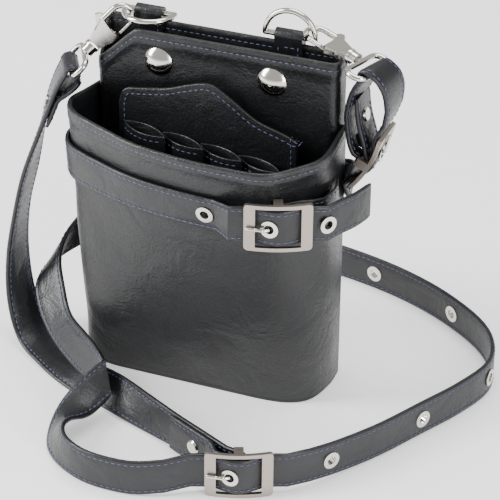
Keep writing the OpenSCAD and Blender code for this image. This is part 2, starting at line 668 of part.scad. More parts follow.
// Right length: folded over the loop buckle's bar, up over the right hook's ring, back
// down through the loop buckle, behind the pouch, round to the front, over the left
// length, through the strap buckle and away to the right in a wide curve
loop_end = curve([[75.8, 16, 170, 0, 1, 0], [77, 16, 158, 0, 1, 0], [80.4, 15.8, 146, 0, 1, 0]], 3);
loop_leg = curve([[75, 15.6, 139.6, 0, 1, 0], [72.8, 15.8, 145, 0, 1, 0],
  [71.6, 16, 152, 0, 1, 0], [72, 15, 162, 0.1, 1, 0], [76.2, 12.8, 174.4, 0.25, 1, 0],
  right_wrap(140)], 3);
loop_top = concat([for (a = [110 : -30 : 20]) right_wrap(a)],
  curve([right_wrap(-8), [90.9, 9.8, 184.4, 0.3, 1, 0], [93.4, 12, 176.4, 0.2, 1, 0],
    [93.2, 14, 167, 0.1, 1, 0]], 3));
to_floor = curve([[70.6, 20.5, 115.5, -0.1, 0.8, 0.6], [66, 27.8, 113, -0.1, 0.25, 0.97],
  [54, 30.5, 110, -0.25, 0, 0.96], [20, 30, 99, -0.35, 0, 0.94], [-20, 30, 84, -0.35, 0, 0.94],
  [-52, 29.5, 70, -0.3, 0, 0.95], [-77, 23, 58, -0.1, 0, 1], [-90, 11, 48, 0.3, 0.1, 0.9],
  [-92.5, -3, 39.5, 0.6, 0.2, 0.75], [-86.5, -14.5, 30, 0.8, 0.1, 0.6],
  [-76, -26, 21, 0.65, 0.05, 0.75], [-58, -41, 18.5, 0.3, 0.3, 0.9],
  [-41, -54, 18.5, -0.2, 0.5, 0.8], [-33, -60, 18, -0.43, 0.6, 0.67]], 5);
to_buckle = curve([[-34.5, -63.4, 17, -0.5, 0.52, 0.68], [-39, -73, 13, -0.68, 0.5, 0.4],
  [-43, -84, 9.8, -0.7, 0.35, -0.1], [-44, -96, 8.9, -0.6, 0.15, -0.6],
  [-40, -108, 9.6, -0.4, 0, -0.85], [-30, -118.5, 10.2, -0.15, 0, -1],
  [-14, -125, 10.1, 0, 0, -1], [8, -125.2, 10.3, 0, 0, -1], [24, -119.6, 11.6, 0, 0, -1]], 4);
to_tail = curve([[88, -84, 12, 0, 0, -1], [98, -70, 10.8, 0, 0, -1], [112, -48, 10.1, 0, 0, -1],
  [126, -22, 10.1, 0, 0, -1], [139, 3, 10.1, 0, 0, -1], [147, 27, 10.1, 0, 0, -1],
  [143, 48, 10.1, 0, 0, -1], [130, 66, 10.1, 0, 0, -1], [106, 84, 10.1, 0, 0, -1],
  [80, 97, 10.1, 0, 0, -1], [52, 106, 10.1, 0, 0, -1], [20, 112, 10.1, 0, 0, -1],
  [-14, 114, 10.1, 0, 0, -1]], 4);
strap_right_run = concat(loop_end, round_bar(loop_place, strap_t, 125, -95), loop_leg, loop_top,
  through(loop_place, strap_t, strap_t, 1, 9), to_floor, to_buckle,
  through(strap_place, strap_t, strap_t, -1, 10), to_tail);
LOOP_THROUGH = len(loop_end) + 6 + len(loop_leg) + len(loop_top);
TAIL = LOOP_THROUGH + 10 + len(to_floor) + len(to_buckle) + 11;
strap_eyelet_at = [LOOP_THROUGH + 4, TAIL - 7, TAIL + 3,
  TAIL + 12, TAIL + 20, TAIL + 31, TAIL + 39];

module strap_left() {
  color(leather) difference() {
    ribbon(strap_left_run, strap_w, strap_t);
    in_place(strap_place) prong_slot();
    for (k = left_rivet_at) on_strap(left_down, k) rod(rivet_shank, 12);
  }
}
module strap_right() {
  color(leather) difference() {
    ribbon(strap_right_run, strap_w, strap_t);
    in_place(loop_place) prong_slot_back();
    eyelet_holes(strap_right_run, strap_eyelet_at, strap_t);
    on_strap(loop_end, 3) pressed_hole(rivet_shank, rivet_head + seat, strap_t);
  }
}
module strap_eyelets() {
  color(nickel) for (i = strap_eyelet_at) on_strap(strap_right_run, i) eyelet(strap_t);
}
module strap_rivets() {
  color(nickel) {
    for (k = left_rivet_at) on_strap(left_down, k) rivet(-strap_t / 2, lap + strap_t / 2);
    on_strap(loop_end, 3) rivet(-strap_t / 2, strap_t / 2);
  }
}

// ---------- drawing ----------
base_panel();
rear_pocket_back();
rear_pocket_front();
front_pocket();
insert_card();
insert_sleeve_1();
insert_sleeve_2();
insert_sleeve_3();
insert_sleeve_4();
snap_caps();
snap_sockets();
snap_studs();
snap_stud_posts();
tab_left();
tab_right();
d_ring_left();
d_ring_right();
pouch_belt();
belt_chape();
belt_eyelets();
belt_rivets();
belt_buckle_frame();
belt_buckle_bar();
belt_buckle_prong();
hook_left_body();
hook_left_lever();
hook_left_pin();
hook_left_spring();
hook_left_ring();
hook_right_body();
hook_right_lever();
hook_right_pin();
hook_right_spring();
hook_right_ring();
strap_left();
strap_buckle_frame();
strap_buckle_bar();
strap_buckle_prong();
strap_right();
strap_eyelets();
strap_rivets();
loop_buckle_frame();
loop_buckle_bar();
loop_buckle_prong();
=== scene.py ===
# %% [markdown]
# # A hairdresser's shear holster
# The real thing is a small pouch of black leather-look sheet, folded, stitched and
# riveted, with polished nickel hooks. The metal pieces come from the CAD model as they
# are. Everything soft is built again here, because leather shows its thickness, its
# rolled edges, its stitching and its grain, and a plain solid shows none of them.

# %% Load the frame
import bpy, bmesh, json, math
from mathutils import Matrix, Vector, noise


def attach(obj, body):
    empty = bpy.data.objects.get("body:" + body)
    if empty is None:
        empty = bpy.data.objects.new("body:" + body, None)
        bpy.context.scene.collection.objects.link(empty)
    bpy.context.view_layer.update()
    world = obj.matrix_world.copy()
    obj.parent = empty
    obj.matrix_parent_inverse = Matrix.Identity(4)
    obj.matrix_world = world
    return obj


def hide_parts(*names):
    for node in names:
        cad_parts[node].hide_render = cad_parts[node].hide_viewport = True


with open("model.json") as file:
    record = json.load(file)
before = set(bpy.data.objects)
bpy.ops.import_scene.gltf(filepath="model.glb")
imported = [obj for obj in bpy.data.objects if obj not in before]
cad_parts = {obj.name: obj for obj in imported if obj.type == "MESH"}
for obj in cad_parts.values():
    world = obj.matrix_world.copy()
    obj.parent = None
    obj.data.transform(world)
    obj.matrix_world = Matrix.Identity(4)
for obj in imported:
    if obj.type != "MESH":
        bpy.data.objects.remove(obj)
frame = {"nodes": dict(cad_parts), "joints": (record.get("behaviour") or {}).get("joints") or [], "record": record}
nodes = frame["nodes"]
joints = {joint["name"]: joint for joint in frame["joints"]}
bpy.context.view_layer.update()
bpy.ops.object.select_all(action="DESELECT")
MM = 0.001

# %% [markdown]
# ## Camera
# A long lens keeps the pouch's upright edges nearly parallel. The shift moves the picture
# without turning the camera, so that the long strap fits on the right.

# %% Camera
AZIMUTH, ELEVATION = math.radians(22.1), math.radians(30.3)
look = Vector((0, 0, 0.090))
back = Vector((math.sin(AZIMUTH) * math.cos(ELEVATION),
               -math.cos(AZIMUTH) * math.cos(ELEVATION), math.sin(ELEVATION)))
bpy.ops.object.camera_add(location=look + back * 1.227,
                          rotation=(math.pi / 2 - ELEVATION, 0, AZIMUTH))
camera = bpy.context.object
camera.name = "camera"
camera.data.lens, camera.data.sensor_width = 169.6, 36
camera.data.shift_x, camera.data.shift_y = 0.0812, -0.0666
bpy.context.scene.camera = camera
print("camera stands", round(camera.location.length, 3), "m from the origin")

# %% [markdown]
# ## Finishes
# One function turns a sRGB hex colour to Blender's linear values, and one adds a shader
# node with its settings and links.

# %% Colour and node helpers
def linear(hex_colour):
    def channel(pair):
        c = int(pair, 16) / 255
        return c / 12.92 if c <= 0.04045 else ((c + 0.055) / 1.055) ** 2.4
    return tuple(channel(hex_colour[i:i + 2]) for i in (1, 3, 5)) + (1,)


def add_node(tree, kind, inputs=None, **settings):
    made = tree.nodes.new(kind)
    for key, value in settings.items():
        setattr(made, key, value)
    for key, value in (inputs or {}).items():
        if isinstance(value, bpy.types.NodeSocket):
            tree.links.new(value, made.inputs[key])
        else:
            made.inputs[key].default_value = value
    return made


def new_material(name):
    made = bpy.data.materials.new(name)
    made.use_nodes = True
    tree = made.node_tree
    tree.nodes.clear()
    return made, tree


def finish_material(tree, shader):
    add_node(tree, "ShaderNodeOutputMaterial", {"Surface": shader.outputs[0]})

# %% [markdown]
# ### Black polyurethane leather
# The sheet is cloth coated with black polyurethane and pressed between rollers. That
# leaves rounded pebbles about 1 mm wide with fine creases between them, and a satin
# surface that is a little shinier on the pebbles' tops. Soft folds some 10 to 30 mm apart
# come from handling. Cells give the pebbles, and two noises the creases and the folds.
# The fold noise also paints shade into the colour, darker in the fold hollows and lighter
# on their ridges.

# %% Leather
def make_leather(name, colour, pebble_mm, depth_mm, rough):
    made, tree = new_material(name)
    place_on = add_node(tree, "ShaderNodeTexCoord").outputs["Object"]
    warp = add_node(tree, "ShaderNodeTexNoise",
                    {"Vector": place_on, "Scale": 420.0, "Detail": 2.0})
    moved = add_node(tree, "ShaderNodeMixRGB",
                     {"Fac": 0.0022, "Color1": place_on, "Color2": warp.outputs["Color"]},
                     blend_type="ADD")
    cells = add_node(tree, "ShaderNodeTexVoronoi",
                     {"Vector": moved.outputs[0], "Scale": 1000 / pebble_mm},
                     feature="SMOOTH_F1")
    creases = add_node(tree, "ShaderNodeTexNoise",
                       {"Vector": place_on, "Scale": 900.0, "Detail": 4.0,
                        "Roughness": 0.6})
    folds = add_node(tree, "ShaderNodeTexNoise",
                     {"Vector": place_on, "Scale": 55.0, "Detail": 3.0,
                      "Roughness": 0.55, "Distortion": 0.8})
    pebbles = add_node(tree, "ShaderNodeMapRange",
                       {"Value": cells.outputs["Distance"], "From Min": 0.1,
                        "From Max": 0.75, "To Min": 1.0, "To Max": 0.0})
    fine = add_node(tree, "ShaderNodeBump",
                    {"Height": creases.outputs["Fac"], "Strength": 0.35,
                     "Distance": 0.12 * MM})
    grain = add_node(tree, "ShaderNodeBump",
                     {"Height": pebbles.outputs[0], "Strength": 0.55,
                      "Distance": depth_mm * MM, "Normal": fine.outputs[0]})
    handled = add_node(tree, "ShaderNodeBump",
                       {"Height": folds.outputs["Fac"], "Strength": 0.5,
                        "Distance": 2.2 * MM, "Normal": grain.outputs[0]})
    # Painted shade and highlight: the colour is scaled by the fold height, x0.85 in the fold hollows and x1.2 on
    # their ridges.
    fold_painted_shading = add_node(tree, "ShaderNodeMapRange",
                    {"Value": folds.outputs["Fac"], "From Min": 0.3, "From Max": 0.7,
                     "To Min": 0.85, "To Max": 1.2})
    shade = add_node(tree, "ShaderNodeVectorMath",
                     {0: linear(colour)[:3], "Scale": fold_painted_shading.outputs[0]},
                     operation="SCALE")
    gloss = add_node(tree, "ShaderNodeMapRange",
                     {"Value": pebbles.outputs[0], "To Min": rough + 0.12,
                      "To Max": rough - 0.04})
    shader = add_node(tree, "ShaderNodeBsdfPrincipled",
                      {"Base Color": shade.outputs[0], "Roughness": gloss.outputs[0],
                       "IOR": 1.5, "Normal": handled.outputs[0]})
    finish_material(tree, shader)
    return made


leather = make_leather("black_pu_leather", "#141517", 1.0, 0.2, 0.36)
strap_leather = make_leather("black_strap_leather", "#17181b", 0.8, 0.14, 0.34)
print("leather finishes made")

# %% [markdown]
# ### Thread
# Bonded nylon sewing thread, twisted from three plies. It is dark navy, and duller than
# the leather. A lighter blue-grey is painted on the plies' raised tops as a highlight, so
# the rows of stitches show as small blue-grey dashes.

# %% Thread
thread, tree = new_material("navy_bonded_thread")
where = add_node(tree, "ShaderNodeTexCoord").outputs["Object"]
plies = add_node(tree, "ShaderNodeTexNoise",
                 {"Vector": where, "Scale": 2600.0, "Detail": 1.0})
ply_bump = add_node(tree, "ShaderNodeBump",
                    {"Height": plies.outputs["Fac"], "Strength": 0.5,
                     "Distance": 0.1 * MM})
# Painted highlight: the lighter blue-grey is mixed in on the plies' raised tops by the same noise that bumps them.
navy_with_painted_ply_highlights = add_node(tree, "ShaderNodeMixRGB",
                    {"Fac": plies.outputs["Fac"], "Color1": linear("#3a3b58"),
                     "Color2": linear("#6a6c90")})
finish_material(tree, add_node(tree, "ShaderNodeBsdfPrincipled",
                               {"Base Color": navy_with_painted_ply_highlights.outputs[0], "Roughness": 0.62,
                                "Normal": ply_bump.outputs[0]}))

# %% [markdown]
# ### Polished nickel plate and brushed antique nickel
# The hooks, rings, snaps and eyelets are die-cast or pressed and plated with bright
# nickel: a slightly warm mirror with faint tool marks. The buckle frames are plated
# darker and brushed across their width, so their gloss is stretched along the strap.

# %% Metals
def make_metal(name, colour, rough, mark_scale, mark_depth):
    made, tree = new_material(name)
    place_on = add_node(tree, "ShaderNodeTexCoord").outputs["Object"]
    marks = add_node(tree, "ShaderNodeMapping", {"Vector": place_on, "Scale": mark_scale})
    lines = add_node(tree, "ShaderNodeTexNoise",
                     {"Vector": marks.outputs[0], "Scale": 1.0, "Detail": 4.0})
    bump = add_node(tree, "ShaderNodeBump",
                    {"Height": lines.outputs["Fac"], "Strength": 0.4,
                     "Distance": mark_depth * MM})
    wear = add_node(tree, "ShaderNodeMapRange",
                    {"Value": lines.outputs["Fac"], "To Min": rough - 0.06,
                     "To Max": rough + 0.1})
    shader = add_node(tree, "ShaderNodeBsdfPrincipled",
                      {"Base Color": linear(colour), "Metallic": 1.0,
                       "Roughness": wear.outputs[0], "Normal": bump.outputs[0]})
    finish_material(tree, shader)
    return made


nickel = make_metal("polished_nickel_plate", "#dcd8d0", 0.14, (300, 300, 300), 0.02)
brushed = make_metal("brushed_antique_nickel", "#a89e96", 0.36, (2400, 2400, 160), 0.03)
brushed_flat = make_metal("brushed_antique_nickel_across", "#a89e96", 0.36,
                          (2400, 160, 2400), 0.03)
for name, node in nodes.items():
    slot = next(s["material_slot"] for s in frame["record"]["subparts"]
                if s["node"] == name)
    metal = {"nickel": nickel, "gunmetal": brushed}.get(slot)
    if name.startswith("loop_buckle") and slot == "gunmetal":
        metal = brushed_flat
    if metal:
        for place in node.material_slots:
            place.material = metal
        for poly in node.data.polygons:
            poly.use_smooth = True
print("metals on", sum(1 for n in nodes.values() if n.material_slots), "nodes")

# %% [markdown]
# ## Helpers for soft pieces
# A smooth curve through a few points, the same kind that lays out the CAD model's belt
# and straps, is what a maker draws first. The pieces below are lofted along such curves.

# %% Curves, in millimetres
def smooth(points, steps):
    out = []
    for i in range(len(points) - 1):
        a, b = points[max(i - 1, 0)], points[i]
        c, d = points[i + 1], points[min(i + 2, len(points) - 1)]
        for j in range(steps):
            t = j / steps
            out.append([0.5 * (2 * q + (r - p) * t + (2 * p - 5 * q + 4 * r - s) * t * t
                               + (3 * q - p - 3 * r + s) * t ** 3)
                        for p, q, r, s in zip(a, b, c, d)])
    return out + [list(points[-1])]


def middle(station):
    return Vector(station[:3])


def across(station):
    return Vector(station[3:6]).normalized()


def facing(stations, i):
    ahead = middle(stations[min(i + 1, len(stations) - 1)])
    along = ahead - middle(stations[max(i - 1, 0)])
    return along.normalized().cross(across(stations[i])).normalized()


def ease(low, high, value):
    t = min(max((value - low) / (high - low), 0), 1)
    return t * t * (3 - 2 * t)

# %% [markdown]
# ### From rings of points to a closed skin
# A ring of points is one slice of a piece. Neighbouring rings are joined with quads, and
# the two end rings are closed, or joined to each other where the piece runs right round.

# %% Loft and finish
def loft(name, rings, material, body, round_trip=False, caps=True):
    n, m = len(rings[0]), len(rings)
    corners = [tuple(c * MM for c in p) for ring in rings for p in ring]
    faces = []
    for i in range(m if round_trip else m - 1):
        a, b = i * n, (i + 1) % m * n
        faces += [(a + j, a + (j + 1) % n, b + (j + 1) % n, b + j) for j in range(n)]
    if caps and not round_trip:
        faces += [tuple(reversed(range(n))), tuple((m - 1) * n + j for j in range(n))]
    mesh = bpy.data.meshes.new(name)
    mesh.from_pydata(corners, [], faces)
    piece = bpy.data.objects.new(name, mesh)
    bpy.context.scene.collection.objects.link(piece)
    return finish_piece(piece, material, body)


def finish_piece(piece, material, body, sharp=50):
    work = bmesh.new()
    work.from_mesh(piece.data)
    bmesh.ops.remove_doubles(work, verts=work.verts, dist=0.004 * MM)
    bmesh.ops.recalc_face_normals(work, faces=work.faces)
    work.to_mesh(piece.data)
    work.free()
    piece.data.materials.clear()
    piece.data.materials.append(material)
    bpy.ops.object.select_all(action="DESELECT")
    piece.select_set(True)
    bpy.context.view_layer.objects.active = piece
    bpy.ops.object.shade_smooth_by_angle(angle=math.radians(sharp))
    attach(piece, body)
    piece.select_set(False)
    return piece

# %% [markdown]
# ### A stitch
# Each stitch is a short, fat thread that dips into the leather at both ends. It is
# modelled once from a small sphere, stretched and flattened, and copied along the rows.

# %% One stitch
bpy.ops.mesh.primitive_uv_sphere_add(segments=6, ring_count=4, radius=1)
bpy.ops.object.mode_set(mode="EDIT")
bpy.ops.transform.rotate(value=math.pi / 2, orient_axis="Y", center_override=(0, 0, 0))
bpy.ops.object.mode_set(mode="OBJECT")
stitch = bpy.context.object
stitch_shape = [Vector(v.co) for v in stitch.data.vertices]
stitch_faces = [tuple(p.vertices) for p in stitch.data.polygons]
bpy.data.objects.remove(stitch)
STITCH_LENGTH, STITCH_WIDTH, STITCH_PITCH = 2.3, 0.62, 3.3
STITCH_RISE, STITCH_LIFT = 0.26, 0.06


def sew(name, rows, body):
    """rows holds lists of (place in mm, outward direction). One mesh holds all stitches."""
    corners, faces = [], []
    for row in rows:
        travelled, due = 0.0, STITCH_PITCH / 2
        for (a, out_a), (b, out_b) in zip(row, row[1:]):
            length = (b - a).length
            if length < 1e-6:
                continue
            ahead = (b - a) / length
            while due <= travelled + length:
                t = (due - travelled) / length
                centre, out = a.lerp(b, t), out_a.lerp(out_b, t).normalized()
                side = out.cross(ahead).normalized()
                first = len(corners)
                for v in stitch_shape:
                    p = (centre + ahead * (v.x * STITCH_LENGTH / 2)
                         + side * (v.y * STITCH_WIDTH / 2)
                         + out * (v.z * STITCH_RISE + STITCH_LIFT))
                    corners.append(tuple(p * MM))
                faces += [tuple(first + k for k in f) for f in stitch_faces]
                due += STITCH_PITCH
            travelled += length
    mesh = bpy.data.meshes.new(name)
    mesh.from_pydata(corners, [], faces)
    piece = bpy.data.objects.new(name, mesh)
    bpy.context.scene.collection.objects.link(piece)
    finish_piece(piece, thread, body, sharp=80)
    print(name, len(faces) // len(stitch_faces), "stitches")

# %% [markdown]
# ## Front pocket
# The front pocket is one bent sheet, 2 mm thick, sewn to the rear pocket's sides. Its
# foot follows the stiff base, and its rim stands out far in front, so it opens like a
# scoop. The rim is turned over and stitched, which makes it thicker there. The wall has
# the slow waves of a soft sheet held only at its edges, except under the belt.

# %% Front pocket's outline
SIDE, BASE_T, FRONT_H = 68, 3, 150
WALL, BELT_MIDDLE, RIM_SEAM_Z = 2, 121.5, 146.2
foot_line = [(-SIDE, 16), (-SIDE, 5), (-67, -9), (-60, -19.5), (-47, -23.5), (-20, -24),
             (10, -24), (40, -24), (55, -21), (64, -13), (SIDE, 3), (SIDE, 16)]
rim_line = [(-SIDE, 16), (-SIDE - 3, 4), (-74, -10), (-66, -23), (-43, -35), (-22, -44),
            (5, -49), (30, -50), (48, -48), (60, -37), (70, -19), (SIDE, 16)]


def pocket_line(z, steps):
    t = max(z - BASE_T, 0) / (FRONT_H - BASE_T)
    return smooth([[a * (1 - t) + b * t for a, b in zip(p, q)]
                   for p, q in zip(foot_line, rim_line)], steps)


def side_of(line, i):
    d = Vector(line[min(i + 1, len(line) - 1)]) - Vector(line[max(i - 1, 0)])
    d.normalize()
    return Vector((d.y, -d.x))


FRONT_SEED, REAR_SEED = 3.1, 11.4


def wave(x, z, seed):
    return noise.noise(Vector((x / 34, z / 46, seed))) * 1.3 + noise.noise(
        Vector((x / 15, z / 19, seed + 7))) * 0.35

# %% Front pocket's shell
STEPS = 12
LINE_END, FADE = (len(foot_line) - 1) * STEPS, 14


def end_fade(i):
    """The waves fade out where the wall is sewn to the rear pocket's sides."""
    return ease(0, FADE, i) * ease(0, FADE, LINE_END - i)


outer_profile = [(0.4, -1.6), (0.8, -0.7), (1.8, -0.1)]
outer_profile += [(z, 0.0) for z in range(4, 142, 3)]
outer_profile += [(142.6, 0.0), (143.2, 0.35), (145.4, 0.42), (146.2, 0.2), (147, 0.42),
                  (148.6, 0.4), (149.6, 0.05), (150, -0.6)]
inner_profile = [(150, -1.6), (149.5, -2.2), (148.4, -2.5), (140, -2.5), (138.5, -2.0),
                 (120, -2.0), (90, -2.0), (60, -2.0), (30, -2.0), (BASE_T + 0.1, -2.0),
                 (1.2, -2.4)]
columns = [[] for _ in range(LINE_END + 1)]
for z, off in outer_profile + inner_profile:
    line = pocket_line(z, STEPS)
    from_belt = abs(z - BELT_MIDDLE)
    calm = 1 - ease(22, 12, from_belt) if from_belt < 22 else 1.0
    calm *= ease(3, 22, z) * (1 - 0.75 * ease(139, 147, z))
    for i, p in enumerate(line):
        push = off + wave(p[0], z, FRONT_SEED) * calm * end_fade(i)
        q = Vector(p) + side_of(line, i) * push
        columns[i].append((q.x, q.y, z))
front_pocket = loft("front_pocket_shell", columns, leather, "holster")
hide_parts("front_pocket")
print("front pocket:", len(front_pocket.data.polygons), "faces")

# %% Front pocket's stitching
rim = pocket_line(RIM_SEAM_Z, STEPS)
rim_row = []
for i in range(2, len(rim) - 2):
    out = side_of(rim, i)
    push = 0.2 + wave(rim[i][0], RIM_SEAM_Z, FRONT_SEED) * 0.25 * end_fade(i)
    q = Vector(rim[i]) + out * push
    rim_row.append((Vector((q.x, q.y, RIM_SEAM_Z)), Vector((out.x, out.y, 0))))
sew("front_rim_stitches", [rim_row], "holster")

# %% [markdown]
# ## Rear pocket
# A taller, narrow sleeve of the same sheet, closed all round. Its top edge is turned in
# and stitched, its front sags a little between the two snaps, and its left front corner
# sags more, under the left hook.

# %% Rear pocket's shell
REAR_HALF_W, REAR_FRONT_Y, REAR_BACK_Y, REAR_R, REAR_H = 66, 7, 24, 5, 187
HEM_Z, SNAP_X, SNAP_Z, DIP, DIP_FOOT = 183, 31, 171, 20, 90


def rounded_outline(half_w, low_y, high_y, r, per_corner, per_side):
    points = []
    for cx, cy, start in ((half_w - r, high_y - r, 0), (-half_w + r, high_y - r, 90),
                          (-half_w + r, low_y + r, 180), (half_w - r, low_y + r, 270)):
        for k in range(per_corner + 1):
            a = math.radians(start + 90 * k / per_corner)
            points.append((Vector((cx + r * math.cos(a), cy + r * math.sin(a))),
                           Vector((math.cos(a), math.sin(a)))))
        long_side = start in (0, 180)
        if long_side:
            last = points[-1][0]
            goal = Vector((-last.x, last.y))
            for k in range(1, per_side):
                points.append((last.lerp(goal, k / per_side), points[-1][1]))
    return points


rear_outline = rounded_outline(REAR_HALF_W, REAR_FRONT_Y, REAR_BACK_Y, REAR_R, 6, 44)
rear_profile = [(BASE_T, -0.8), (BASE_T + 1, 0)] + [(z, 0.0) for z in range(6, 178, 4)]
rear_profile += [(178.6, 0.0), (179.2, 0.3), (182.2, 0.35), (183, 0.15), (183.8, 0.35),
                 (186, 0.3), (186.7, 0), (REAR_H, -0.5), (REAR_H, -1.5), (186.6, -2.0),
                 (185, -2.3), (183.8, -2.3), (183, -2.1), (182.2, -2.3), (179, -2.3),
                 (178, -2.0), (150, -2), (110, -2), (70, -2), (30, -2), (BASE_T, -2)]


def rear_sag(x, y, z):
    """How far the rear pocket's skin moves along Y: quiet near snaps, sides and hem."""
    reach = REAR_HALF_W - 6 - abs(x)
    if reach < 0:
        return 0.0
    quiet = ease(0, 16, reach) * (1 - 0.6 * ease(168, 182, z)) * ease(3, 20, z)
    for snap_x in (-SNAP_X, SNAP_X):
        quiet *= ease(6, 20, math.hypot(x - snap_x, z - SNAP_Z))
    sag = wave(x, z, REAR_SEED) * 0.8
    if y > 15:
        return -abs(sag) * quiet
    return (0.6 + sag) * quiet


def corner_dip(x, y):
    """The left front corner sags, because the hook and its strap lie over it."""
    near_front = 1 - ease(13, 22.5, y)
    drop = DIP * ease(-41, -67, x) * near_front
    return 0.35 * drop + 0.65 * DIP * max(0, min((-44 - x) / 22, 1)) * near_front


def dip_at(p, z):
    return corner_dip(p.x, p.y) * ease(DIP_FOOT, REAR_H, z)


rear_rings = []
for p, out in rear_outline:
    ring = []
    for z, off in rear_profile:
        q = p + out * off
        ring.append((q.x, q.y + rear_sag(q.x, q.y, z), z - dip_at(p, z)))
    rear_rings.append(ring)
rear_pocket = loft("rear_pocket_shell", rear_rings, leather, "holster", round_trip=True)
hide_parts("rear_pocket_back", "rear_pocket_front")

# %% Rear pocket's stitching
hem_rows = []
for off, inward in ((0.15, 1), (-2.1, -1)):
    row = []
    for p, out in rear_outline + rear_outline[:1]:
        q = p + out * off
        row.append((Vector((q.x, q.y + rear_sag(q.x, q.y, HEM_Z),
                            HEM_Z - dip_at(p, HEM_Z))),
                    Vector((out.x, out.y, 0)) * inward))
    hem_rows.append(row)
sew("rear_hem_stitches", hem_rows, "holster")

# %% [markdown]
# ## Insert
# A stiff card covered in leather slides into the front pocket. Its top edge rises to a
# low point in the middle, and a row of stitches follows the outline. Four flat tubes, each
# for one pair of shears, are sewn to its face and overlap like roof tiles.

# %% Card
def rounded_slab(name, outline, low_y, high_y, roll, material, body):
    """A flat sheet standing in XZ, its outline's edges rolled over."""
    sheet = bpy.data.meshes.new(name)
    sheet.from_pydata([(x * MM, high_y * MM, z * MM) for x, z in outline], [],
                      [tuple(range(len(outline)))])
    piece = bpy.data.objects.new(name, sheet)
    bpy.context.scene.collection.objects.link(piece)
    work = bmesh.new()
    work.from_mesh(sheet)
    lid = bmesh.ops.extrude_face_region(work, geom=work.faces[:])
    moved = [v for v in lid["geom"] if isinstance(v, bmesh.types.BMVert)]
    bmesh.ops.translate(work, verts=moved, vec=(0, (low_y - high_y) * MM, 0))
    rims = [e for e in work.edges
            if abs(e.verts[0].co.y - e.verts[1].co.y) < 1e-7]
    bmesh.ops.bevel(work, geom=rims, offset=roll * MM, segments=3, profile=0.5,
                    affect="EDGES")
    work.to_mesh(sheet)
    work.free()
    return finish_piece(piece, material, body, sharp=60)


card_points = [(-50, 8), (-50, 80), (-50, 140), (-49.6, 150), (-46.5, 156.4), (-38, 158.2),
               (-25, 160.4), (-14, 164.2), (-6, 166.8), (-1, 167.6), (4, 166.4),
               (13, 160.6), (26, 151.8), (40, 147.2), (46, 144.6), (48, 140), (48, 80),
               (48, 8)]
card_outline = [tuple(p) for p in smooth(card_points, 6)]
CARD_FRONT, CARD_BACK, CARD_SEAM = -1.2, 1.0, 3.2
card = rounded_slab("insert_card_cover", card_outline, CARD_FRONT, CARD_BACK, 0.7,
                    leather, "insert")
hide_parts("insert_card")


def inset(outline, i, d):
    a = Vector(outline[max(i - 1, 0)])
    b = Vector(outline[min(i + 1, len(outline) - 1)])
    along = (b - a).normalized()
    return Vector(outline[i]) + Vector((along.y, -along.x)) * d


rows = []
for y, out in ((CARD_FRONT, -1), (CARD_BACK, 1)):
    row = [inset(card_outline, i, CARD_SEAM) for i in range(2, len(card_outline) - 2)]
    rows.append([(Vector((p.x, y, p.y)), Vector((0, out, 0))) for p in row])
sew("insert_card_stitches", rows, "insert")

# %% Sleeves
SLEEVE_W, SLEEVE_D, SLEEVE_WALL, SLEEVE_YAW = 29, 9.6, 0.8, math.radians(-20)
SLEEVE_X, SLEEVE_STEP, SLEEVE_TOP, SLEEVE_FALL, SLEEVE_SIDES = -33, 21, 139, 2.5, 64
SLEEVE_FOOT, SLEEVE_SEAM = 40, 3.2
bow_r = (SLEEVE_W ** 2 + SLEEVE_D ** 2) / (4 * SLEEVE_D)
sleeve_y = CARD_FRONT - 0.05 - bow_r + (bow_r - SLEEVE_D / 2) * math.cos(SLEEVE_YAW)


def lens_point(t, shrink):
    """t from 0 to 1 runs once round the flat tube; shrink moves it inward."""
    side = 1 if t < 0.5 else -1
    u = (t * 2) % 1.0
    r = bow_r - shrink
    reach = math.sqrt(max(r * r - (bow_r - SLEEVE_D / 2) ** 2, 0))
    half = math.asin(reach / r)
    a = half * (1 - 2 * u)
    return (side * r * math.sin(a), side * (r * math.cos(a) - (bow_r - SLEEVE_D / 2)))


def turned(x, y):
    return (x * math.cos(SLEEVE_YAW) - y * math.sin(SLEEVE_YAW),
            x * math.sin(SLEEVE_YAW) + y * math.cos(SLEEVE_YAW))


